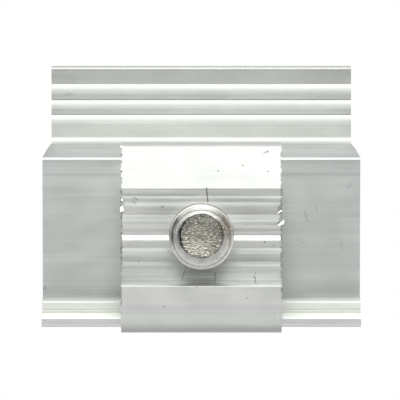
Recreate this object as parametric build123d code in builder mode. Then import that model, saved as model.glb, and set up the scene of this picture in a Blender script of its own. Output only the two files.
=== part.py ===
from build123d import *
import os

os.makedirs("parts", exist_ok=True)

# Frame: the screw's axis is Z, the rail's top face is Z = 0, the extrusions run along X,
# and the clamped module stands on the -Y side of the upright wall.

# Module and rail that the clamp is made for
module_height = 35.0
rail_lip = 2.5
rail_lip_play = 0.3
rail_slot = 11.0
slot_play = 0.4

# Clamp bracket, an extrusion
bracket_length = 40.0
wall_thickness = 2.3
hook_thickness = 3.0
hook_reach = 9.95
hook_land = 2.35
hook_relief = 0.3
hook_relief_height = 15.0
tooth_pitch = 2.0
tooth_rise = 0.22
tooth_run = 1.3
tooth_count = 3
base_thickness = 4.0
base_height = 4.2
foot_back = 12.0
foot_land = 0.75
foot_bevel = 0.5
foot_ledge = 1.55
foot_ledge_height = 2.1
foot_ledge_fall = 0.15
foot_wall_slope = 0.1
hook_heel_radius = 1.6
hook_nose_radius = 0.35
hook_root_radius = 0.85
base_heel_radius = 0.35
base_root_radius = 0.15
foot_root_radius = 0.12
foot_ledge_radius = 0.5
foot_inner_radius = 0.25
foot_outer_radius = 0.5
base_back_radius = 0.8

# Socket screw with an eight millimetre thread
thread_diameter = 7.9
screw_length = 20.0
head_overhang = 2.55
head_height = 8.0
head_chamfer = 0.7
underhead_radius = 0.12
hex_across_flats = 6.0
hex_depth = 4.6
hex_cone_depth = 0.9
hex_cone_floor_diameter = 2.4
hex_mouth_diameter = 7.6
hex_mouth_depth = 0.7
tip_chamfer = 0.45
tip_lip_radius = 0.35
tip_cup_diameter = 5.35
tip_cup_depth = 0.25
head_side_gap = 0.25
hole_clearance = 1.0

# Split lock washer
washer_thickness = 2.0
washer_rim_inset = 0.15
washer_bore_clearance = 0.35
washer_slot = 0.9
washer_slot_angle = 25.0
washer_edge_radius = 0.25

# Channel nut, an extrusion cut across
nut_length = 19.8
nut_front = 11.4
nut_back = 12.05
nut_boss_height = 4.0
nut_plate_thickness = 2.8
nut_web_half_width = 5.9
nut_leg_drop = 3.4
nut_leg_land = 2.3
nut_front_edge = 1.1
nut_front_radius = 0.9
nut_boss_radius = 0.4
nut_shoulder_radius = 0.3
nut_back_radius = 0.4
nut_step_radius = 0.08
nut_front_crest_radius = 0.5
thread_clearance = 0.05
countersink_diameter = 9.0
vee_front = 1.3
vee_front_run = 0.75
vee_floor = 0.55
vee_back_run = 0.55
vee_depth = 0.2
drawn_line_slope = 0.08
drawn_line_places = (-4.95, -4.15, -2.6, 1.5, 3.2, 5.3)
drawn_line_widths = (0.6, 0.8, 1.8, 1.5, 1.2, 0.6)

# Places that follow from the sizes above
head_diameter = thread_diameter + 2 * head_overhang
screw_to_wall = head_diameter / 2 + head_side_gap
wall_inner = -screw_to_wall
wall_outer = wall_inner - wall_thickness
hook_nose = wall_outer - hook_reach
hook_root = wall_outer + hook_relief
hook_crest = module_height
hook_valley = hook_crest + tooth_rise
hook_top = hook_crest + hook_thickness
base_top = base_height + base_thickness
head_seat = base_top + washer_thickness
tip_height = head_seat - screw_length
screw_hole_diameter = thread_diameter + hole_clearance
washer_outer_diameter = head_diameter - 2 * washer_rim_inset
washer_bore = thread_diameter + washer_bore_clearance
nut_shoulder = -(rail_lip + rail_lip_play)
nut_boss_half = (rail_slot - slot_play) / 2
nut_boss_top = nut_shoulder + nut_boss_height
nut_web = nut_shoulder - nut_plate_thickness
nut_leg = nut_web - nut_leg_drop
nut_bore = thread_diameter + 2 * thread_clearance


def corner(sketch, y, z):
    """The sketch's vertex that lies nearest to this place in the profile."""
    return sketch.vertices().sort_by_distance(Vector(y, z))[0]


# The bracket's profile: the underside of the hook is a land and a row of barbs with their
# steep sides towards the wall, each rising on an arc that runs out level at its crest. Under
# the hook the wall leans back a little, so that the module frame's corner stays clear of it.
foot_sole_front = foot_back - foot_outer_radius - foot_land
foot_ledge_back = foot_sole_front - foot_bevel
foot_ledge_front = foot_ledge_back - foot_ledge
foot_root = foot_ledge_front - foot_wall_slope

with BuildPart() as clamp_bracket:
    with BuildSketch(Plane.YZ) as bracket_profile:
        with BuildLine():
            barb_root = hook_nose + hook_land
            Line((hook_nose, hook_valley), (barb_root, hook_valley))
            for tooth in range(tooth_count):
                crest = barb_root + tooth_run
                next_root = barb_root + tooth_pitch
                TangentArc((crest, hook_crest), (barb_root, hook_valley), tangent=(-1, 0))
                if tooth < tooth_count - 1:
                    Line((crest, hook_crest), (next_root, hook_crest))
                    Line((next_root, hook_crest), (next_root, hook_valley))
                    barb_root = next_root
            Polyline(
                (crest, hook_crest),
                (hook_root, hook_crest),
                (wall_outer, hook_crest - hook_relief_height),
                (wall_outer, base_height),
                (foot_root, base_height),
                (foot_ledge_front, foot_ledge_height),
                (foot_ledge_back, foot_ledge_height - foot_ledge_fall),
                (foot_sole_front, 0),
                (foot_back, 0),
                (foot_back, base_top),
                (wall_inner, base_top),
                (wall_inner, hook_top),
                (hook_nose, hook_top),
                (hook_nose, hook_valley),
            )
        make_face()
        for y, z, radius in (
            (hook_root, hook_crest, hook_root_radius),
            (wall_outer, base_height, base_heel_radius),
            (foot_root, base_height, foot_root_radius),
            (foot_ledge_front, foot_ledge_height, foot_ledge_radius),
            (foot_ledge_back, foot_ledge_height - foot_ledge_fall, foot_inner_radius),
            (foot_sole_front, 0, foot_inner_radius),
            (foot_back, 0, foot_outer_radius),
            (foot_back, base_top, base_back_radius),
            (wall_inner, base_top, base_root_radius),
            (wall_inner, hook_top, hook_heel_radius),
            (hook_nose, hook_top, hook_nose_radius),
            (hook_nose, hook_valley, hook_nose_radius),
        ):
            fillet(corner(bracket_profile, y, z), radius)
    extrude(amount=bracket_length / 2, both=True)
    with Locations((0, 0, base_top)):
        Hole(radius=screw_hole_diameter / 2, depth=base_thickness)

clamp_bracket.part.label = "clamp_bracket"
export_step(clamp_bracket.part, "parts/clamp_bracket.step")


# The screw is turned about Z: a cylinder head, the thread at its outer diameter, and a tip
# whose rolled lip stands round a shallow sheared cup.
head_radius = head_diameter / 2
head_top = head_seat + head_height
thread_radius = thread_diameter / 2
cup_radius = tip_cup_diameter / 2
cup_floor = tip_height + tip_cup_depth
hex_floor = head_top - hex_depth

with BuildPart() as socket_screw:
    with BuildSketch(Plane.XZ):
        with BuildLine():
            Polyline(
                (0, cup_floor),
                (cup_radius, cup_floor),
                (cup_radius, tip_height + tip_lip_radius / 2),
                (cup_radius + tip_lip_radius / 2, tip_height),
                (thread_radius - tip_chamfer, tip_height),
                (thread_radius, tip_height + tip_chamfer),
                (thread_radius, head_seat - underhead_radius),
                (thread_radius + underhead_radius, head_seat),
                (head_radius, head_seat),
                (head_radius, head_top - head_chamfer),
                (head_radius - head_chamfer, head_top),
                (0, head_top),
                (0, cup_floor),
            )
        make_face()
    revolve(axis=Axis.Z)
    with BuildSketch(Plane.XY.offset(hex_floor)):
        RegularPolygon(radius=hex_across_flats / 2, side_count=6, major_radius=False)
    extrude(amount=hex_depth, mode=Mode.SUBTRACT)
    with BuildSketch(Plane.XY.offset(hex_floor)):
        Circle(hex_across_flats / 2)
    with BuildSketch(Plane.XY.offset(hex_floor - hex_cone_depth)):
        Circle(hex_cone_floor_diameter / 2)
    loft(mode=Mode.SUBTRACT)
    with BuildSketch(Plane.XY.offset(head_top - hex_mouth_depth)):
        Circle(hex_across_flats / 2)
    with BuildSketch(Plane.XY.offset(head_top)):
        Circle(hex_mouth_diameter / 2)
    loft(mode=Mode.SUBTRACT)

socket_screw.part.label = "socket_screw"
export_step(socket_screw.part, "parts/socket_screw.step")


# The lock washer is a square-section ring with rounded edges, slit on a slant.
with BuildPart() as lock_washer:
    with BuildSketch(Plane.XY.offset(base_top)):
        Circle(washer_outer_diameter / 2)
        Circle(washer_bore / 2, mode=Mode.SUBTRACT)
    extrude(amount=washer_thickness)
    ring_edges = lock_washer.edges().filter_by(GeomType.CIRCLE)
    outer_edges = ring_edges.filter_by(lambda edge: edge.radius > washer_bore / 2 + washer_edge_radius)
    fillet(outer_edges, washer_edge_radius)
    slot_plane = Plane(
        origin=(0, (washer_bore + washer_outer_diameter) / 4, base_top + washer_thickness / 2),
        x_dir=(1, 0, 0),
        z_dir=(0, 1, 0),
    ).rotated((0, washer_slot_angle, 0))
    with BuildSketch(slot_plane):
        Rectangle(washer_slot, washer_outer_diameter)
    extrude(amount=washer_outer_diameter / 4, both=True, mode=Mode.SUBTRACT)

lock_washer.part.label = "lock_washer"
export_step(lock_washer.part, "parts/lock_washer.step")


# The nut's profile: a boss that stands in the rail's slot, two shoulders that bear under its
# lips, a thin front wing that tips in first, and a leg at the back that keeps it level.
with BuildPart() as channel_nut:
    with BuildSketch(Plane.YZ) as nut_profile:
        leg_round = nut_back - nut_web_half_width - nut_leg_land
        vee_floor_front = vee_front_run - vee_front
        vee_floor_back = vee_floor_front + vee_floor
        with BuildLine():
            Polyline(
                (nut_back - leg_round, nut_leg),
                (nut_web_half_width, nut_leg),
                (nut_web_half_width, nut_web),
                (-nut_web_half_width, nut_web),
                (-nut_front, nut_shoulder - nut_front_edge),
                (-nut_front, nut_shoulder),
                (-nut_boss_half, nut_shoulder),
                (-nut_boss_half, nut_boss_top),
                (nut_boss_half, nut_boss_top),
                (nut_boss_half, nut_shoulder),
                (nut_back, nut_shoulder),
                (nut_back, nut_leg + leg_round),
            )
            TangentArc(
                (nut_back, nut_leg + leg_round),
                (nut_back - leg_round, nut_leg),
                tangent=(0, -1),
            )
        make_face()
        for y, z, radius in (
            (nut_web_half_width, nut_leg, nut_step_radius),
            (nut_web_half_width, nut_web, nut_step_radius),
            (-nut_web_half_width, nut_web, nut_front_crest_radius),
            (-nut_front, nut_shoulder - nut_front_edge, nut_front_radius),
            (-nut_front, nut_shoulder, nut_shoulder_radius),
            (-nut_boss_half, nut_boss_top, nut_boss_radius),
            (nut_boss_half, nut_boss_top, nut_boss_radius),
            (nut_back, nut_shoulder, nut_back_radius),
        ):
            fillet(corner(nut_profile, y, z), radius)
        with BuildLine():
            Polyline(
                (-vee_front, nut_web),
                (vee_floor_front, nut_web + vee_depth),
                (vee_floor_back, nut_web + vee_depth),
                (vee_floor_back + vee_back_run, nut_web),
                close=True,
            )
        make_face(mode=Mode.SUBTRACT)
        for place, width in zip(drawn_line_places, drawn_line_widths):
            with BuildLine():
                Polyline(
                    (place - width / 2, nut_web),
                    (place, nut_web + drawn_line_slope * width / 2),
                    (place + width / 2, nut_web),
                    close=True,
                )
            make_face(mode=Mode.SUBTRACT)
    extrude(amount=nut_length / 2, both=True)
    with Locations((0, 0, nut_boss_top)):
        CounterSinkHole(
            radius=nut_bore / 2,
            counter_sink_radius=countersink_diameter / 2,
            depth=nut_boss_top - nut_web,
        )

channel_nut.part.label = "channel_nut"
export_step(channel_nut.part, "parts/channel_nut.step")
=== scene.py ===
import math
import random

import bmesh
import bpy
from mathutils import Matrix, Vector, noise


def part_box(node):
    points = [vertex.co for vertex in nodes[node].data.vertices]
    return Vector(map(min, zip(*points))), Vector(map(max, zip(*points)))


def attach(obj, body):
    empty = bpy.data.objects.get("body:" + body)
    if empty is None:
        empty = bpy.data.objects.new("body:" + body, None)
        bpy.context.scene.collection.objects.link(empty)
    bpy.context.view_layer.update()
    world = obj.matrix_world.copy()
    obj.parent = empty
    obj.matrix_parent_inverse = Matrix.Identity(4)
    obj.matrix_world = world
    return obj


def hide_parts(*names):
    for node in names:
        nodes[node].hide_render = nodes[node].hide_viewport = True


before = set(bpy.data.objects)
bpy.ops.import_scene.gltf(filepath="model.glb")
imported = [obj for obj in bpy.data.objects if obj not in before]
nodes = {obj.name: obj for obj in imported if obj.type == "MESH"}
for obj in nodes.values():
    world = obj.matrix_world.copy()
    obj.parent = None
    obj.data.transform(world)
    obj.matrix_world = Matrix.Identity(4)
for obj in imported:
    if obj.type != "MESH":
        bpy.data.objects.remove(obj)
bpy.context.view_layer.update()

mm = 0.001
screw_low, screw_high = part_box("socket_screw")
_, washer_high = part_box("lock_washer")
_, nut_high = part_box("channel_nut")

# Screw sizes in millimetres, along the frame's screw axis
tip_z = screw_low.z / mm
head_top_z = screw_high.z / mm
seat_z = washer_high.z / mm
head_radius = screw_high.x / mm
thread_radius = 3.95
thread_root_radius = 3.3
thread_pitch = 1.25
thread_rows = 16
thread_phase = 3
run_out_start = 1.2
run_out_end = 0.5
head_fillet = 0.12
shank_segments = 192
knurl_teeth = 64
knurl_depth = 0.13
knurl_bottom = 0.9
head_chamfer = 0.75
hex_apothem = 3.0
hex_depth = 4.5
hex_cone_depth = 0.9
hex_cone_radius = 0.9
mouth_radius = 3.75
mouth_depth = 0.6

# The sheared tip: a rough cup, a cone round it, a groove and the thread's first turn
cup_radius = 2.7
cup_offset = (-0.02, -0.37)
cup_depth = 0.16
cup_dish = 0.3
cup_rings = 54
cone_radius = 3.3
cone_rise = 0.2
groove_radius = 3.45
groove_rise = 0.31
shoulder_radius = groove_radius + 0.12
shoulder_rise = 0.4
shoulder_end_rise = 1.15
ring_roughness_start = 0.04

# The nut's underside and ends, in millimetres
nut_end = nut_high.x / mm
web_z = -5.6
web_half = 5.9
wing_slope = 1.7 / 5.5
leg_z = -9.0


# Mesh helpers

def add_mesh(name, build, body, material, smooth_angle=40):
    """A new piece from a function that fills a bmesh in millimetres."""
    work = bmesh.new()
    build(work)
    bmesh.ops.remove_doubles(work, verts=work.verts, dist=1e-5)
    bmesh.ops.dissolve_degenerate(work, edges=work.edges, dist=1e-6)
    bmesh.ops.recalc_face_normals(work, faces=work.faces)
    bmesh.ops.scale(work, vec=(mm, mm, mm), verts=work.verts)
    data = bpy.data.meshes.new(name)
    work.to_mesh(data)
    work.free()
    piece = bpy.data.objects.new(name, data)
    bpy.context.scene.collection.objects.link(piece)
    data.materials.append(material)
    data.polygons.foreach_set("use_smooth", [True] * len(data.polygons))
    data.set_sharp_from_angle(angle=math.radians(smooth_angle))
    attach(piece, body)
    return piece


def join_rings(work, rings, shift=0):
    """Quads between rings of vertices; with a shift, each ring climbs that many rows in a turn."""
    columns = len(rings[0])
    for i, (low, high) in enumerate(zip(rings, rings[1:])):
        for j in range(columns):
            k = (j + 1) % columns
            climb = shift if k == 0 else 0
            if i + 1 + climb >= len(rings):
                continue
            corners = (low[j], rings[i + climb][k], rings[i + 1 + climb][k], high[j])
            places = {tuple(round(c, 6) for c in corner.co) for corner in corners}
            if len(places) > 2:
                work.faces.new(corners)


def ring(work, radius_at, z_at, segments):
    """One ring of vertices whose radius and height may vary with the angle."""
    made = []
    for j in range(segments):
        angle = 2 * math.pi * j / segments
        r = radius_at(angle)
        made.append(work.verts.new((r * math.cos(angle), r * math.sin(angle), z_at(angle, r))))
    return made


def add_solid(work, low, high):
    """A closed skin between two rows of corners."""
    count = len(low)
    bottom = [work.verts.new(place) for place in low]
    top = [work.verts.new(place) for place in high]
    work.faces.new(bottom)
    work.faces.new(list(reversed(top)))
    for j in range(count):
        k = (j + 1) % count
        work.faces.new((bottom[j], top[j], top[k], bottom[k]))


def soft_step(value, low, high):
    share = min(max((value - low) / (high - low), 0.0), 1.0)
    return share * share * (3 - 2 * share)


# Screw

def thread_radius_of(row):
    """The thread's radius by row: a crest of an eighth of the pitch, a root of a quarter."""
    phase = ((row + thread_phase) % thread_rows) / thread_rows
    to_crest = min(phase, 1.0 - phase)
    share = min(max((to_crest - 1 / 16) / (0.5 - 1 / 16 - 1 / 8), 0.0), 1.0)
    return thread_radius - (thread_radius - thread_root_radius) * share


def tip_limit(z):
    """The tip's outline above the groove: an arc out to the thread's full radius."""
    rise = (z - tip_z - shoulder_rise) / (shoulder_end_rise - shoulder_rise)
    rise = min(max(rise, 0.0), 1.0)
    return shoulder_radius + (thread_radius - shoulder_radius) * math.sqrt(1 - (1 - rise) ** 2)


def grit(angle, r, size, seed):
    """Rough metal: fractal noise of a given grain."""
    place = Vector((r * math.cos(angle) * size, r * math.sin(angle) * size, seed))
    return noise.fractal(place, 0.8, 2.1, 4)


def cup_floor(angle, r):
    """The sheared cup: dished, torn in ridges across Y that are coarse at one side."""
    x, y = r * math.cos(angle), r * math.sin(angle)
    sway = 0.5 * noise.noise(Vector((x * 0.8, y * 0.8, 3.1)))
    sway += 0.12 * noise.noise(Vector((x * 3.0, y * 2.0, 9.0)))
    ridges = noise.noise(Vector((x * 0.9, (y + sway + 0.12 * x) * 3.9, 5.0)))
    coarse = 0.25 + 0.75 * soft_step(y - 0.55 * x, -1.4, 1.6)
    streaks = noise.fractal(Vector((x * 2.4 + sway, (y + 0.3 * sway) * 7.0, 21.0)), 0.7, 2.1, 3)
    coarse_grit = 0.04 * grit(angle, r, 3.6, 2.0)
    fine_grit = 0.035 * grit(angle, r, 11.0, 7.0)
    torn = 0.05 * ridges * coarse + 0.05 * streaks + coarse_grit + fine_grit
    dish = cup_dish * (1 - (r / cup_radius) ** 2)
    drop = 0.1 * soft_step(-x, 0.5, 2.5)
    edge = soft_step(cup_radius - r, 0.0, 0.09)
    return tip_z + (cup_depth + drop + dish + torn) * edge


def hexagon_at(angle):
    """The hex socket's radius, with its flats square to Y."""
    sector = math.pi / 3
    within = (angle % sector) - sector / 2
    return hex_apothem / math.cos(within)


def knurl_at(angle, depth):
    """A straight knurl: rounded grooves all round the head."""
    return head_radius - depth * (0.5 - 0.5 * math.cos(knurl_teeth * angle)) ** 0.7


def plain_ring(work, radius, z):
    return ring(work, lambda angle: radius, lambda angle, r: z, shank_segments)


def close_ring(work, last, pole_place):
    """A fan of triangles from a ring to one vertex."""
    pole = work.verts.new(pole_place)
    for here, after in zip(last, last[1:] + last[:1]):
        work.faces.new((here, after, pole))


def sheared_tip(work):
    """Rings from the cup's middle out to the groove; the cup is closed at its middle."""
    rings = []
    shift = Vector((cup_offset[0], cup_offset[1], 0))
    for i in range(1, cup_rings + 1):
        r = cup_radius * i / cup_rings
        made = ring(work, lambda a, r=r: r, cup_floor, shank_segments)
        for vertex in made:
            vertex.co += shift
            vertex.co.z = max(vertex.co.z, tip_z)
        rings.append(made)
    cone = (
        (cup_radius + 0.06, 0.0),
        (cup_radius + 0.16, 0.02),
        (cup_radius + 0.28, 0.06),
        (cup_radius + 0.4, 0.105),
        (cup_radius + 0.5, 0.15),
        (cone_radius, cone_rise),
        (groove_radius - 0.06, cone_rise + 0.04),
        (groove_radius - 0.02, groove_rise + 0.07),
        (groove_radius + 0.04, groove_rise + 0.07),
        (shoulder_radius, shoulder_rise),
    )
    for r, rise in cone:
        near = 1 - soft_step(r, cup_radius, cone_radius)

        def place_ring(angle, q, rise=rise):
            rough = 0.012 * grit(angle, q, 7.0, 11.0) + 0.01 * grit(angle, q, 2.5, 13.0)
            if rise <= ring_roughness_start:
                rough = abs(rough) * 0.5
            return tip_z + max(rise + rough, 0.0)

        made = ring(work, lambda a, r=r: r, place_ring, shank_segments)
        for vertex in made:
            vertex.co.x += cup_offset[0] * near
            vertex.co.y += cup_offset[1] * near
        rings.append(made)
    join_rings(work, rings)
    close_ring(work, rings[0], (cup_offset[0], cup_offset[1], cup_floor(0, 0)))
    return rings


def helical_thread(work, bottom, top):
    """Rows of vertices that climb one pitch a turn, cut level at both ends."""
    row_count = math.ceil((top - bottom) / thread_pitch * thread_rows) + thread_rows + 2
    thread = []
    for i in range(row_count):
        line = []
        for j in range(shank_segments):
            turned = j / shank_segments
            angle = 2 * math.pi * turned
            z = bottom + thread_pitch * (i / thread_rows - 1 + turned)
            z = min(max(z, bottom), top)
            r = min(thread_radius_of(i), tip_limit(z))
            run_out = soft_step(z, top - run_out_start, top - run_out_end)
            r += (thread_radius - r) * run_out
            if z == bottom:
                r = shoulder_radius
            if z == top:
                r = thread_radius
            line.append(work.verts.new((r * math.cos(angle), r * math.sin(angle), z)))
        thread.append(line)
    join_rings(work, thread, thread_rows)
    return thread


def knurled_head(work, bottom):
    """Rings from the thread's end up round the head, down its hex socket and closed there."""
    under_head = (
        (thread_radius, bottom),
        (thread_radius + head_fillet, seat_z),
        (head_radius - 0.35, seat_z),
        (head_radius - 0.12, seat_z + 0.12),
        (head_radius - 0.05, seat_z + knurl_bottom),
    )
    rings = [plain_ring(work, r, z) for r, z in under_head]
    knurl_top = head_top_z - head_chamfer - 0.25
    for share, depth in ((0.0, 0.0), (0.05, 1.0), (0.95, 1.0), (1.0, 0.0)):
        z = seat_z + knurl_bottom + 0.1 + (knurl_top - seat_z - knurl_bottom - 0.1) * share
        rings.append(ring(
            work,
            lambda a, d=depth: knurl_at(a, d * knurl_depth),
            lambda a, q, z=z: z,
            shank_segments,
        ))
    top_rings = (
        (head_radius - 0.05, head_top_z - head_chamfer),
        (head_radius - 0.2, head_top_z - 0.35),
        (head_radius - 0.5, head_top_z - 0.09),
        (head_radius - 0.85, head_top_z),
        (mouth_radius + 0.08, head_top_z),
    )
    rings += [plain_ring(work, r, z) for r, z in top_rings]
    for share in (0.04, 0.25, 0.5, 0.75, 1.0):
        z = head_top_z - mouth_depth * share
        cone_at = mouth_radius + (hex_apothem - mouth_radius) * share
        rings.append(ring(
            work,
            lambda a, c=cone_at: max(hexagon_at(a), c),
            lambda a, q, z=z: z,
            shank_segments,
        ))
    floor_z = head_top_z - hex_depth
    rings.append(ring(work, hexagon_at, lambda a, q: floor_z, shank_segments))
    rings.append(plain_ring(work, hex_apothem - 0.05, floor_z))
    rings.append(plain_ring(work, hex_cone_radius, floor_z - hex_cone_depth))
    join_rings(work, rings)
    close_ring(work, rings[-1], (0, 0, floor_z - hex_cone_depth - 0.1))


def build_screw(work):
    bottom = tip_z + shoulder_rise
    top = seat_z - head_fillet
    tip = sheared_tip(work)
    thread = helical_thread(work, bottom, top)
    for low, high in zip(tip[-1], thread[0]):
        low.co = high.co
    knurled_head(work, top)


# Material helpers

class Nodes:
    """A material's node tree, with one short call for each kind of node."""

    def __init__(self, name):
        self.material = bpy.data.materials.new(name)
        self.material.use_nodes = True
        self.tree = self.material.node_tree
        self.shader = self.tree.nodes["Principled BSDF"]
        self.place = self.scale(self.add("ShaderNodeTexCoord").outputs["Object"], 1 / mm)

    def add(self, kind, **settings):
        node = self.tree.nodes.new(kind)
        for key, value in settings.items():
            setattr(node, key, value)
        return node

    def feed(self, socket, value):
        if isinstance(value, bpy.types.NodeSocket):
            self.tree.links.new(value, socket)
        else:
            socket.default_value = value

    def vector(self, operation, first, second=None):
        node = self.add("ShaderNodeVectorMath", operation=operation)
        self.feed(node.inputs[0], first)
        if second is not None:
            self.feed(node.inputs[1], second)
        is_number = operation in ("LENGTH", "DOT_PRODUCT")
        return node.outputs["Value" if is_number else "Vector"]

    def scale(self, vector, amount):
        """A vector or a colour times one number or tone."""
        node = self.add("ShaderNodeVectorMath", operation="SCALE")
        self.feed(node.inputs[0], vector)
        self.feed(node.inputs["Scale"], amount)
        return node.outputs[0]

    def stretch(self, vector, amounts):
        return self.vector("MULTIPLY", vector, amounts)

    def shift(self, vector, amounts):
        return self.vector("ADD", vector, amounts)

    def length(self, vector):
        return self.vector("LENGTH", vector)

    def math(self, operation, first, second=0.0):
        node = self.add("ShaderNodeMath", operation=operation)
        self.feed(node.inputs[0], first)
        self.feed(node.inputs[1], second)
        return node.outputs[0]

    def plus(self, first, *others):
        for other in others:
            first = self.math("ADD", first, other)
        return first

    def times(self, first, *others):
        for other in others:
            first = self.math("MULTIPLY", first, other)
        return first

    def opposite(self, mask):
        return self.math("SUBTRACT", 1.0, mask)

    def change(self, value, mask, amount):
        """A value with an amount added where the mask is 1."""
        return self.plus(value, self.times(mask, amount))

    def cut(self, value, mask, share):
        """A value that loses a share of itself where the mask is 1."""
        return self.times(value, self.opposite(self.times(mask, share)))

    def apart(self, value, place):
        """How far a value is from a place, to either side."""
        return self.math("ABSOLUTE", self.math("SUBTRACT", value, place))

    def parts(self, vector):
        node = self.add("ShaderNodeSeparateXYZ")
        self.feed(node.inputs[0], vector)
        return node.outputs

    def strongest(self, masks):
        total = masks[0]
        for mask in masks[1:]:
            total = self.math("MAXIMUM", total, mask)
        return total

    def blot(self, centre, reach, core=0.3, place=None):
        """1 in the core of an ellipsoid round a place, fading to 0 at its reach."""
        offset = self.shift(place or self.place, tuple(-c for c in centre))
        away = self.length(self.stretch(offset, tuple(1 / r for r in reach)))
        return self.below(away, core, 1.0)

    def scratch(self, start, end, width, place=None):
        """1 along a straight scratch from one place to another, fading to 0 at its width."""
        along = Vector(end) - Vector(start)
        offset = self.shift(place or self.place, tuple(-c for c in start))
        share = self.add("ShaderNodeClamp")
        dot = self.vector("DOT_PRODUCT", offset, along / along.length_squared)
        self.feed(share.inputs["Value"], dot)
        nearest = self.scale(along, share.outputs[0])
        away = self.length(self.vector("SUBTRACT", offset, nearest))
        return self.below(away, width * 0.35, width)

    def ring_noise(self, distance, size):
        """Noise that only varies with a distance, so that it makes rings or arcs."""
        node = self.add("ShaderNodeTexNoise", noise_dimensions="1D")
        self.feed(node.inputs["W"], distance)
        node.inputs["Scale"].default_value = size
        node.inputs["Detail"].default_value = 3.0
        return node.outputs["Fac"]

    def saw_marks(self, hub):
        """The arcs that a round saw blade leaves on an end face."""
        from_hub = self.length(self.shift(self.stretch(self.place, (0, 1, 1)), hub))
        return self.between(self.ring_noise(from_hub, 4.0), 0.3, 0.7, -0.08, 0.05)

    def ragged_place(self, size, reach):
        """The place, pushed to and fro by noise, so that marks get ragged edges."""
        wobble = self.between(self.noise(self.place, size), 0.2, 0.8, -reach, reach)
        both = self.add("ShaderNodeCombineXYZ")
        self.feed(both.inputs["X"], wobble)
        self.feed(both.inputs["Y"], wobble)
        return self.shift(self.place, both.outputs[0])

    def noise(self, vector, size=1.0, detail=3.0, roughness=0.5):
        node = self.add("ShaderNodeTexNoise")
        self.feed(node.inputs["Vector"], vector)
        node.inputs["Scale"].default_value = size
        node.inputs["Detail"].default_value = detail
        node.inputs["Roughness"].default_value = roughness
        return node.outputs["Fac"]

    def between(self, value, low, high, to_low=0.0, to_high=1.0):
        """A smooth change from one output to another while a value goes from low to high."""
        node = self.add("ShaderNodeMapRange", interpolation_type="SMOOTHSTEP")
        self.feed(node.inputs["Value"], value)
        node.inputs["From Min"].default_value = low
        node.inputs["From Max"].default_value = high
        node.inputs["To Min"].default_value = to_low
        node.inputs["To Max"].default_value = to_high
        return node.outputs["Result"]

    def below(self, value, low, high):
        """1 up to low, fading to 0 at high."""
        return self.between(value, low, high, 1.0, 0.0)

    def mix(self, share, first, second):
        node = self.add("ShaderNodeMix", data_type="RGBA")
        self.feed(node.inputs["Factor"], share)
        self.feed(node.inputs[6], first)
        self.feed(node.inputs[7], second)
        return node.outputs[2]

    def mix_value(self, share, first, second):
        return self.change(first, share, self.math("SUBTRACT", second, first))

    def bump(self, height, distance):
        node = self.add("ShaderNodeBump")
        node.inputs["Strength"].default_value = 1.0
        node.inputs["Distance"].default_value = distance
        self.feed(node.inputs["Height"], height)
        return node.outputs["Normal"]

    def metal(self, colour, roughness, height, depth):
        """The finished metal; the bumps' depth is in millimetres."""
        self.feed(self.shader.inputs["Base Color"], colour)
        self.feed(self.shader.inputs["Roughness"], roughness)
        self.shader.inputs["Metallic"].default_value = 1.0
        self.feed(self.shader.inputs["Normal"], self.bump(height, depth * mm))
        return self.material


# Materials. Places are in millimetres; masks are 1 where they act.

# Drawing lines along the nut's web, with their light and shade painted as bands: place, half
# width, and how much lighter or darker
web_bands = (
    (-3.2, 0.4, 0.05),
    (-1.15, 0.3, 0.2),
    (-0.75, 0.25, -0.12),
    (0.95, 0.5, 0.12),
    (3.25, 0.35, -0.12),
    (5.3, 0.45, -0.1),
)

# Colours
anodised_colour = (0.842, 0.876, 0.849, 1)
hook_colour = (0.855, 0.878, 0.825, 1)
mill_colour = (0.86, 0.882, 0.845)
steel_colour = (0.86, 0.85, 0.81, 1)
cup_colour = (0.62, 0.615, 0.52, 1)
stain_colour = (0.27, 0.23, 0.18, 1)
washer_colour = (0.66, 0.65, 0.63)


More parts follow.
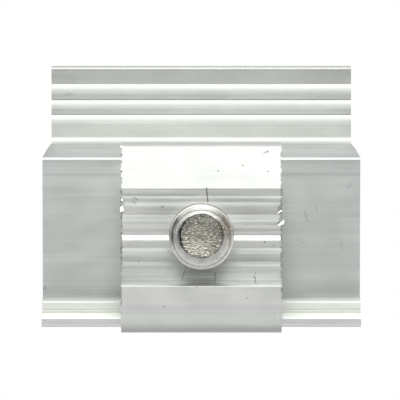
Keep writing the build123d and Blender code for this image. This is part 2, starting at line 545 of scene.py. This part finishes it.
def anodised_metal():
    """Satin anodised extrusion: fine lines along X, zones of painted light and shade, a few
    scratches and smudges.
    """
    look = Nodes("anodised_aluminium")
    x, y, z = look.parts(look.place)
    fine = look.noise(look.stretch(look.place, (0.03, 7.0, 7.0)), 1.0, 4.0, 0.65)
    broad = look.noise(look.stretch(look.place, (0.02, 1.1, 1.1)), 1.0, 2.0)
    clouds = look.noise(look.stretch(look.place, (0.16, 0.35, 0.35)), 1.0, 3.0)
    tone = look.plus(look.between(fine, 0.25, 0.75, -0.035, 0.035), 1.0)
    tone = look.plus(tone, look.between(broad, 0.3, 0.7, -0.02, 0.02))
    tone = look.plus(tone, look.between(clouds, 0.3, 0.7, -0.025, 0.025))

    sawn = look.between(look.math("ABSOLUTE", x), 19.97, 19.99)
    drawn = look.opposite(sawn)
    even = tone
    on_hook = look.between(z, 31.0, 33.0)
    hook_tone = look.between(y, -18.0, -11.0, -0.24, -0.1)
    tone = look.change(tone, on_hook, hook_tone)
    # Painted shade: the wall is darkened, a little more towards its top.
    on_wall = look.times(look.between(z, 4.6, 5.2), look.below(z, 33.6, 34.6))
    on_wall = look.times(on_wall, look.below(y, -8.6, -8.5))
    tone = look.change(tone, on_wall, look.between(z, 15.0, 21.0, -0.34, -0.42))
    # Painted light and shade on the foot: lighter on its inner side, darker on its outer side, and
    # a painted highlight along the sole's lower edge.
    on_foot = look.times(look.between(y, 8.95, 9.2), look.below(z, 2.2, 2.6))
    on_foot = look.times(on_foot, look.between(z, 1.5, 1.7))
    on_foot = look.times(on_foot, look.between(y, 9.8, 10.15, 0.12, -0.26))
    tone = look.plus(tone, on_foot)
    on_sole = look.times(look.between(y, 10.5, 10.8), look.between(z, 0.05, 0.3, 0.3, 0.0))
    tone = look.plus(tone, on_sole)
    # Painted shade in the corner under the ledge, darker towards the base.
    ledge_corner_shade = look.times(look.between(y, 8.4, 8.62), look.below(y, 8.95, 9.2))
    ledge_corner_shade = look.times(ledge_corner_shade, look.below(z, 4.3, 4.5))
    tone = look.change(tone, ledge_corner_shade, look.between(z, 2.0, 3.9, -0.3, -0.44))
    on_base = look.times(look.between(z, 3.9, 4.1), look.below(z, 5.0, 5.4))
    die_line = look.between(look.apart(y, -6.85), 0.05, 0.25, -0.1, 0.0)
    # Painted shade on the base: darker towards the wall's heel and towards the foot, where those
    # corners shade it.
    heel_corner_shade = look.between(y, -8.7, -7.6, -0.13, 0.0)
    foot_corner_shade = look.plus(
        look.between(y, 6.6, 7.4, 0.0, -0.05),
        look.between(y, 7.6, 8.4, 0.0, -0.11),
    )
    base_tone = look.plus(die_line, heel_corner_shade, foot_corner_shade)
    tone = look.change(tone, on_base, base_tone)
    tone = look.mix_value(drawn, even, tone)

    wall_y = -9.05
    rough_place = look.ragged_place(1.4, 0.25)
    smudges = look.strongest([
        look.blot((-14.5, wall_y, 22.0), (4.6, 1.0, 3.4), 0.05, rough_place),
        look.blot((14.6, wall_y, 22.0), (4.4, 1.0, 2.8), 0.05, rough_place),
        look.blot((8.5, wall_y, 23.0), (5.6, 1.0, 2.2), 0.05, rough_place),
        look.blot((-17.6, -15.3, 35.2), (1.2, 0.5, 0.6), 0.2, rough_place),
    ])
    patches = look.noise(look.stretch(look.place, (0.35, 0.9, 0.9)), 1.0, 4.0, 0.65)
    smudges = look.times(smudges, look.between(patches, 0.38, 0.6, 0.2, 1.0))
    scratches = look.strongest([
        look.scratch((13.25, -1.1, 4.2), (12.9, -2.4, 4.2), 0.14, rough_place),
        look.scratch((14.6, -2.2, 4.2), (14.3, -3.1, 4.2), 0.1, rough_place),
        look.scratch((18.3, -5.35, 4.2), (19.0, -5.95, 4.2), 0.13, rough_place),
        look.scratch((12.1, 1.4, 4.2), (12.9, 1.7, 4.2), 0.08, rough_place),
        look.scratch((17.8, 1.8, 4.2), (17.5, 2.5, 4.2), 0.09, rough_place),
        look.blot((18.62, 10.75, 0.1), (0.22, 0.16, 0.3), 0.4),
        look.blot((-19.75, 7.5, 4.2), (0.35, 0.3, 0.4), 0.3),
    ])
    tone = look.cut(tone, smudges, 0.2)
    tone = look.cut(tone, scratches, 0.22)
    saw_lines = look.times(sawn, look.saw_marks((0, 60.0, 44.0)))
    tone = look.plus(tone, saw_lines)
    warm = look.math("MAXIMUM", look.times(on_hook, 0.75), look.between(y, 8.6, 9.2))
    colour = look.mix(warm, anodised_colour, hook_colour)
    colour = look.scale(colour, tone)
    rough = look.between(clouds, 0.3, 0.7, 0.49, 0.53)
    height = look.change(fine, scratches, -1.5)
    height = look.change(height, saw_lines, 8.0)
    return look.metal(colour, rough, height, 0.003)


def mill_metal():
    """Mill-finish extrusion: strong drawing lines under the web, sawn ends with chipped edges, and
    painted light and shade on several faces.
    """
    look = Nodes("mill_aluminium")
    x, y, z = look.parts(look.place)
    fine = look.noise(look.stretch(look.place, (0.045, 8.0, 8.0)), 1.0, 5.0, 0.7)
    broad = look.noise(look.stretch(look.place, (0.05, 1.6, 1.6)), 1.0, 3.0, 0.6)
    clouds = look.noise(look.place, 0.3, 4.0)
    from_middle = look.math("ABSOLUTE", x)
    sawn = look.between(from_middle, 9.88, 9.895)
    drawn = look.opposite(sawn)
    in_web = look.times(
        look.between(z, -6.1, -5.75),
        look.below(look.math("ABSOLUTE", y), 5.8, 6.0),
    )
    in_web = look.times(in_web, look.times(drawn, look.below(z, -5.3, -5.1)))
    lined = look.change(0.25, in_web, 0.75)
    tone = look.times(look.between(fine, 0.3, 0.7, -0.13, 0.11), lined)
    tone = look.change(tone, look.between(broad, 0.3, 0.7, -0.09, 0.08), lined)
    tone = look.plus(tone, look.between(clouds, 0.3, 0.7, -0.02, 0.02))
    tone = look.plus(tone, 1.0)
    even = tone
    on_leg = look.below(z, -8.0, -6.5)
    tone = look.change(tone, on_leg, 0.13)
    # Painted shade along the root of the step from the web down to the leg.
    step_root_shade = look.times(look.between(y, 5.3, 5.85), look.below(y, 5.93, 6.0))
    step_root_shade = look.times(step_root_shade, look.below(z, -5.3, -5.1))
    tone = look.change(tone, step_root_shade, -0.28)
    # Painted light and shade along the web's drawing lines.
    bands = 0.0
    for place, half_width, change in web_bands:
        away = look.apart(y, place)
        bands = look.plus(bands, look.between(away, half_width * 0.5, half_width, change, 0.0))
    tone = look.change(tone, in_web, bands)
    # Painted shadow of the screw's tip on the web, on its +Y side.
    painted_screw_shadow = look.blot((0.0, 4.9, -5.6), (3.9, 1.8, 1.0), 0.35)
    tone = look.change(tone, painted_screw_shadow, -0.26)
    # Painted shade: the wing's facet is darkened where the key light makes it brightest.
    on_wing = look.times(look.below(y, -6.0, -5.9), look.between(z, -2.85, -2.9))
    tone = look.change(tone, on_wing, -0.31)
    # Painted shade on the leg's rounded back, which turns away from the key light.
    leg_back_shade = look.times(look.between(y, 10.4, 11.6), look.between(z, -4.5, -5.5))
    tone = look.change(tone, leg_back_shade, -0.24)
    leg_bands = look.plus(
        look.between(y, 7.6, 8.3, 0.0, 0.08),
        look.between(y, 8.6, 9.4, 0.0, -0.2),
    )
    leg_bands = look.plus(leg_bands, look.between(y, 9.9, 10.8, 0.0, 0.12))
    tone = look.change(tone, on_leg, leg_bands)
    tone = look.mix_value(drawn, even, tone)

    rough_place = look.ragged_place(2.2, 0.12)
    crack = look.scratch((0.62, -5.9, web_z), (0.8, -4.2, web_z), 0.11)
    specks = look.strongest([
        look.scratch((7.55, -10.1, -4.2), (8.2, -10.35, -4.2), 0.17, rough_place),
        look.blot((2.06, -7.98, -4.94), (0.17, 0.17, 0.6)),
        look.blot((5.09, -8.64, -4.73), (0.15, 0.15, 0.6)),
        look.blot((8.26, -7.9, -4.96), (0.2, 0.15, 0.6)),
        look.blot((-4.79, -3.57, web_z), (0.2, 0.16, 0.6)),
        look.scratch((-8.5, -4.8, web_z), (-8.0, -4.6, web_z), 0.1, rough_place),
        look.scratch((-8.5, -4.1, web_z), (-8.1, -4.0, web_z), 0.1, rough_place),
        look.scratch((-4.5, -2.5, web_z), (-3.6, -2.3, web_z), 0.1, rough_place),
        look.blot((7.82, 0.79, web_z), (0.16, 0.16, 0.6)),
        look.blot((8.97, 1.27, web_z), (0.14, 0.14, 0.6)),
        look.blot((-7.75, 3.22, web_z), (0.16, 0.14, 0.6)),
        look.blot((-4.09, 1.94, web_z), (0.14, 0.14, 0.6)),
        look.blot((6.62, 4.69, web_z), (0.14, 0.14, 0.6)),
        look.scratch((6.62, 5.1, web_z), (6.66, 5.9, web_z), 0.12, rough_place),
        look.scratch((-1.88, 3.8, web_z), (-2.41, 5.5, web_z), 0.07),
        look.scratch((1.74, 4.6, web_z), (1.7, 5.85, web_z), 0.07),
        look.blot((-4.59, 8.4, leg_z), (0.2, 0.13, 0.6)),
        look.blot((5.63, 7.4, leg_z), (0.12, 0.12, 0.6)),
        look.blot((9.0, 9.91, leg_z), (0.14, 0.14, 0.8)),
        look.blot((-0.55, 6.0, leg_z), (0.14, 0.12, 0.6)),
    ])
    # Painted shade in torn gaps along the sawn ends.
    torn_gap_shade = look.strongest([
        look.scratch((9.5, -1.6, web_z), (9.9, -2.3, web_z), 0.24, rough_place),
        look.scratch((9.55, -3.3, web_z), (9.9, -3.9, web_z), 0.22, rough_place),
        look.scratch((-9.9, -4.1, web_z), (-9.6, -3.9, web_z), 0.16, rough_place),
        look.scratch((-9.9, -1.9, web_z), (-9.7, -0.9, web_z), 0.14, rough_place),
        look.scratch((-9.9, 0.6, web_z), (-9.75, 1.5, web_z), 0.14, rough_place),
    ])
    near_end = look.math("SUBTRACT", look.between(from_middle, 9.6, 9.88), sawn)
    chip_noise = look.noise(look.stretch(look.place, (1.6, 1.1, 1.1)), 1.0, 4.0, 0.7)
    chips = look.times(near_end, look.between(chip_noise, 0.5, 0.62))
    dark = look.math("MAXIMUM", crack, look.times(specks, 0.75))
    dark = look.math("MAXIMUM", dark, look.times(chips, 0.3))
    dark = look.math("MAXIMUM", dark, look.times(torn_gap_shade, 0.5))
    tone = look.cut(tone, dark, 0.7)

    saw_lines = look.saw_marks((0, -46.0, 38.0))
    tone = look.change(tone, sawn, saw_lines)
    colour = look.scale(mill_colour, tone)
    rough = look.between(clouds, 0.3, 0.7, 0.49, 0.53)
    height = look.change(look.times(fine, lined), dark, -2.0)
    height = look.change(height, sawn, look.times(saw_lines, 6.0))
    return look.metal(colour, rough, height, 0.006)


def screw_metal():
    """Stainless steel: bright rolled surfaces, a darker torn tip with a brown stain, and painted
    light and shade round the tip.
    """
    look = Nodes("screw_steel")
    x, y, z = look.parts(look.place)
    to_cup = (-cup_offset[0], -cup_offset[1], 0)
    away = look.length(look.shift(look.stretch(look.place, (1, 1, 0)), to_cup))
    at_tip = look.below(z, tip_z + 1.0, tip_z + 1.6)
    in_cup = look.times(at_tip, look.below(away, cup_radius - 0.12, cup_radius + 0.03))
    fine = look.noise(look.stretch(look.place, (2.0, 7.0, 7.0)), 1.0, 5.0, 0.7)
    clouds = look.noise(look.place, 0.8, 4.0, 0.6)
    spots = look.noise(look.place, 5.5, 3.0, 0.6)
    tone = look.plus(1.0, look.between(fine, 0.3, 0.7, -0.06, 0.05))
    tone = look.plus(tone, look.between(clouds, 0.3, 0.7, -0.07, 0.06))
    pitted = look.times(at_tip, look.between(spots, 0.56, 0.68, 0.0, 0.16))
    tone = look.math("SUBTRACT", tone, pitted)
    cup_tone = -0.27
    torn = look.times(in_cup, look.between(fine, 0.4, 0.62, cup_tone - 0.22, cup_tone + 0.16))
    tone = look.plus(tone, torn)
    pits = look.noise(look.stretch(look.place, (3.0, 6.5, 6.5)), 1.0, 4.0, 0.7)
    tone = look.change(tone, in_cup, look.between(pits, 0.46, 0.6, 0.1, -0.26))
    gap = look.apart(away, cup_radius)
    # Painted shade: a broken dark line round the cup's edge, where it drops into the cup.
    edge_noise = look.noise(look.stretch(look.place, (0.6, 0.6, 0.0)), 1.0, 2.0)
    cup_edge_shade = look.times(look.below(gap, 0.03, 0.11), look.between(edge_noise, 0.4, 0.55))
    cup_edge_shade = look.times(cup_edge_shade, at_tip)
    tone = look.cut(tone, cup_edge_shade, 0.6)
    turned = look.ring_noise(away, 6.0)
    on_left = look.between(x, -2.2, -3.2)
    lines = look.times(at_tip, on_left, look.between(turned, 0.5, 0.64))
    tone = look.change(tone, lines, -0.38)
    stain = look.blot((3.1, -1.6, tip_z + 0.3), (1.7, 3.0, 2.4), 0.3)
    stain = look.times(stain, look.between(spots, 0.35, 0.6, 0.4, 1.0))
    nick = look.blot((3.9, 0.0, tip_z + 0.8), (0.45, 0.32, 0.5), 0.4)
    # Painted shade on the left side of the tip.
    painted_dark_side = look.times(at_tip, look.blot((-3.3, -1.0, tip_z + 0.3), (1.5, 2.7, 2.4), 0.3))
    tone = look.change(tone, painted_dark_side, -0.34)
    tone = look.change(tone, nick, -0.65)
    # Painted shade: a thin dark arc across the top of the ring, at its step.
    upper_arc_shade = look.times(look.between(y, -2.0, -2.8), look.between(away, 2.95, 3.1))
    upper_arc_shade = look.times(upper_arc_shade, look.below(away, 3.25, 3.4))
    tone = look.change(tone, upper_arc_shade, -0.22)
    # Painted shade on the cup's upper left inner wall.
    cup_wall_shade = look.times(look.below(gap, 0.12, 0.34), look.between(x, -1.2, -2.3))
    cup_wall_shade = look.times(cup_wall_shade, look.between(y, 1.4, 0.6), at_tip)
    tone = look.change(tone, cup_wall_shade, -0.34)
    # Painted shade: the ring is darker at its upper left and right sides, along the thread's first
    # turn and the outer rim.
    out = look.length(look.stretch(look.place, (1, 1, 0)))
    thread_line = look.below(look.apart(out, 3.62), 0.06, 0.17)
    sides = look.between(look.apart(x, 0.3), 0.6, 2.0)
    sides = look.times(sides, look.between(y, 2.4, 0.8), at_tip)
    rim = look.between(out, 3.68, 3.8)
    painted_side_shade = look.change(look.times(thread_line, 0.3), rim, 0.3)
    tone = look.math("SUBTRACT", tone, look.times(sides, painted_side_shade))
    lit_side = look.blot((-0.7, 1.1, tip_z + 0.4), (1.9, 1.5, 1.2), 0.2)
    tone = look.plus(tone, look.times(in_cup, lit_side, 0.24))
    grain = look.noise(look.place, 9.0, 3.0, 0.7)
    speckle = look.times(at_tip, look.between(grain, 0.47, 0.6, 0.04, -0.16))
    tone = look.plus(tone, speckle)
    colour = look.mix(look.times(in_cup, 0.8), steel_colour, cup_colour)
    colour = look.mix(stain, colour, stain_colour)
    colour = look.scale(colour, tone)
    rough = look.between(clouds, 0.3, 0.7, 0.3, 0.4)
    rough = look.change(rough, at_tip, 0.12)
    rough = look.change(rough, in_cup, 0.04)
    rough = look.change(rough, stain, 0.15)
    height = look.change(look.times(fine, 0.6), spots, -0.7)
    return look.metal(colour, rough, height, 0.012)


def washer_metal():
    """Spring steel with fine rolling marks."""
    look = Nodes("washer_steel")
    fine = look.noise(look.stretch(look.place, (1.0, 1.0, 8.0)), 1.0, 4.0, 0.6)
    clouds = look.noise(look.place, 0.9, 3.0)
    tone = look.plus(
        look.between(fine, 0.3, 0.7, 0.9, 1.0),
        look.between(clouds, 0.3, 0.7, -0.06, 0.06),
    )
    colour = look.scale(washer_colour, tone)
    rough = look.between(clouds, 0.3, 0.7, 0.28, 0.4)
    return look.metal(colour, rough, fine, 0.008)


anodised = anodised_metal()
mill = mill_metal()
steel = screw_metal()
spring_steel = washer_metal()


# Pieces

def dress(node, material):
    data = nodes[node].data
    data.materials.clear()
    data.materials.append(material)


dress("clamp_bracket", anodised)
dress("channel_nut", mill)
dress("lock_washer", spring_steel)
screw = add_mesh("threaded_screw", build_screw, "screw", steel)
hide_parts("socket_screw")


# Burrs and flakes that the saw left along the nut's ends

def nut_face_z(y):
    """The height of the nut's underside along its profile."""
    if y < -web_half:
        return web_z + (-web_half - y) * wing_slope
    if y < web_half:
        return web_z
    return leg_z


def burr_row(work, side, first_y, last_y, reach, seed):
    """A ragged fin along one sawn edge, with gaps where nothing was left standing."""
    ragged = random.Random(seed)
    y = first_y
    while y < last_y:
        length = ragged.uniform(0.15, 0.5)
        out = reach * ragged.uniform(0.15, 1.0) ** 1.6
        hang = ragged.uniform(0.02, 0.07)
        thick = ragged.uniform(0.03, 0.06)
        if ragged.random() < 0.72:
            z = nut_face_z(y + length / 2)
            lean = ragged.uniform(-0.1, 0.1)
            low = (
                (side * (nut_end - 0.12), y, z - 0.005),
                (side * (nut_end + out * 0.4), y + 0.02, z - hang * 0.5),
                (side * (nut_end + out), y + length / 2 + lean, z - hang),
                (side * (nut_end + out * 0.5), y + length - 0.02, z - hang * 0.6),
                (side * (nut_end - 0.12), y + length, z - 0.005),
            )
            high = [(px, py, pz + thick) for px, py, pz in low]
            add_solid(work, low, high)
        y += length * ragged.uniform(0.8, 1.3)


def build_burrs(work):
    burr_row(work, -1, -11.1, -6.0, 0.09, 21)
    burr_row(work, -1, -5.9, 5.7, 0.2, 4)
    burr_row(work, -1, 6.1, 8.0, 0.06, 9)
    burr_row(work, 1, -10.2, -6.0, 0.04, 31)
    burr_row(work, 1, -5.9, 5.7, 0.2, 12)
    burr_row(work, 1, 6.1, 8.0, 0.06, 16)


def build_flakes(work):
    """Slivers of metal that stand off the ends, tipped towards the key light."""
    sliver_thickness = 0.04
    slivers = (
        ((9.4, -1.28), (9.72, -1.6), (10.16, -2.0), (10.24, -1.72), (9.95, -1.34)),
        ((9.35, -2.75), (9.6, -3.0), (9.95, -3.25), (9.9, -3.02)),
        ((-9.62, -3.1), (-9.98, -3.0), (-10.02, -3.45), (-9.72, -3.72)),
        ((-9.7, -4.35), (-9.95, -4.42), (-9.86, -4.75)),
        ((-9.7, -8.1), (-10.0, -8.2), (-9.8, -8.6)),
        ((-9.6, -10.9), (-9.95, -10.7), (-10.0, -11.1)),
    )
    for sliver in slivers:
        first_y = min(y for _, y in sliver)
        face_z = nut_face_z(first_y) - 0.03
        low = [(x, y, face_z - 0.38 * (y - first_y)) for x, y in sliver]
        high = [(x, y, z + sliver_thickness) for x, y, z in low]
        add_solid(work, low, high)


def sawn_metal():
    """Freshly torn aluminium, bright with dark flecks."""
    look = Nodes("torn_aluminium")
    flecks = look.noise(look.place, 3.5, 4.0, 0.7)
    tone = look.between(flecks, 0.35, 0.6, 0.35, 1.0)
    colour = look.scale((0.93, 0.94, 0.91), tone)
    rough = look.between(flecks, 0.3, 0.7, 0.5, 0.3)
    return look.metal(colour, rough, flecks, 0.02)


torn = sawn_metal()
add_mesh("sawn_burrs", build_burrs, "nut", torn, 30)
add_mesh("saw_flakes", build_flakes, "nut", torn, 30)


# Stage, light and camera, in metres

square = ((-1, -1), (1, -1), (1, 1), (-1, 1))
tone_spread = 0.01
floor_depth = 1.6
floor_half = 60.0
floor_tone = 0.75
floor_far_tone = 0.985
floor_near = 1.4
floor_far = 2.3
flag_depth = 1.0
flag_half = 0.7
flag_front = -0.22
flag_back = 0.5
flag_tone = 0.06
screen_y = 1.1
screen_half = 1.8
screen_low = -0.5
screen_high = 1.2
screen_tone = 0.49
ceiling_height = 0.8
ceiling_half = 0.5
ceiling_tone = 0.41


def panel(name, corners, tone, far_tone=None):
    """A flat piece of the studio, a little uneven in tone, and paler far away if so asked."""
    data = bpy.data.meshes.new(name)
    data.from_pydata(corners, [], [(0, 1, 2, 3)])
    made = bpy.data.objects.new(name, data)
    bpy.context.scene.collection.objects.link(made)
    look = Nodes(name + "_paint")
    grain = look.noise(look.place, 0.02, 2.0)
    colours = [(grey, grey, grey, 1) for grey in (tone - tone_spread, tone + tone_spread)]
    colour = look.mix(grain, *colours)
    if far_tone:
        away = look.length(look.stretch(look.place, (mm, mm, 0)))
        paler = look.between(away, floor_near, floor_far)
        colour = look.mix(paler, colour, (far_tone, far_tone, far_tone, 1))
    look.feed(look.shader.inputs["Base Color"], colour)
    look.shader.inputs["Roughness"].default_value = 0.9
    data.materials.append(look.material)
    return made


# Painted shade: the floor is darker within 1.4 m of the middle, under the clamp, and paler from
# 2.3 m out.
panel(
    "floor",
    [(x * floor_half, y * floor_half, -floor_depth) for x, y in square],
    floor_tone,
    floor_far_tone,
)
flag = panel(
    "grey_flag",
    [(x * flag_half, flag_front if y < 0 else flag_back, -flag_depth) for x, y in square],
    flag_tone,
)
screen = panel(
    "dark_screen",
    [(x * screen_half, screen_y, screen_low if z < 0 else screen_high) for x, z in square],
    screen_tone,
)
ceiling = panel(
    "grey_ceiling",
    [(x * ceiling_half, y * ceiling_half, ceiling_height) for x, y in square],
    ceiling_tone,
)
for unseen in (flag, screen, ceiling):
    unseen.visible_camera = False

world = bpy.data.worlds.new("studio")
world.use_nodes = True
world.node_tree.nodes["Background"].inputs["Color"].default_value = (1, 1, 1, 1)
world.node_tree.nodes["Background"].inputs["Strength"].default_value = 1.0
bpy.context.scene.world = world
bpy.context.scene.view_settings.view_transform = "Standard"


def soft_light(name, place, aim, size, power):
    """A square soft light that faces the clamp and isn't seen itself."""
    data = bpy.data.lights.new(name, "AREA")
    data.size = size
    data.energy = power
    lamp = bpy.data.objects.new(name, data)
    lamp.location = place
    lamp.rotation_euler = (Vector(aim) - Vector(place)).to_track_quat("-Z", "Y").to_euler()
    lamp.visible_camera = False
    bpy.context.scene.collection.objects.link(lamp)
    return lamp


key_angle = math.radians(28)
key_reach = 1.8
soft_light(
    "key_light",
    place=(-0.03, -key_reach * math.sin(key_angle), -key_reach * math.cos(key_angle)),
    aim=(0, 0, 0),
    size=1.0,
    power=21.5,
)
soft_light("top_light", place=(0.35, -0.35, 0.6), aim=(0, 0, 0.02), size=0.4, power=0.4)

# The camera looks up along the screw from below, tilted a little towards the hook's side.
look_at = Vector((-0.17, -3.69, 3.62)) * mm
camera_reach = 0.495
camera_tilt = math.radians(4.6)
photo_side = 400
focal_pixels = 3936
camera_data = bpy.data.cameras.new("camera")
camera_data.sensor_width = 36
camera_data.lens = focal_pixels / photo_side * camera_data.sensor_width
camera = bpy.data.objects.new("camera", camera_data)
rightward = Vector((1, 0, 0))
backward = Vector((0, -math.sin(camera_tilt), -math.cos(camera_tilt)))
upward = backward.cross(rightward)
camera.location = look_at + camera_reach * backward
camera.rotation_mode = "QUATERNION"
camera.rotation_quaternion = Matrix((rightward, upward, backward)).transposed().to_quaternion()
bpy.context.scene.collection.objects.link(camera)
bpy.context.scene.camera = camera

bpy.context.view_layer.update()
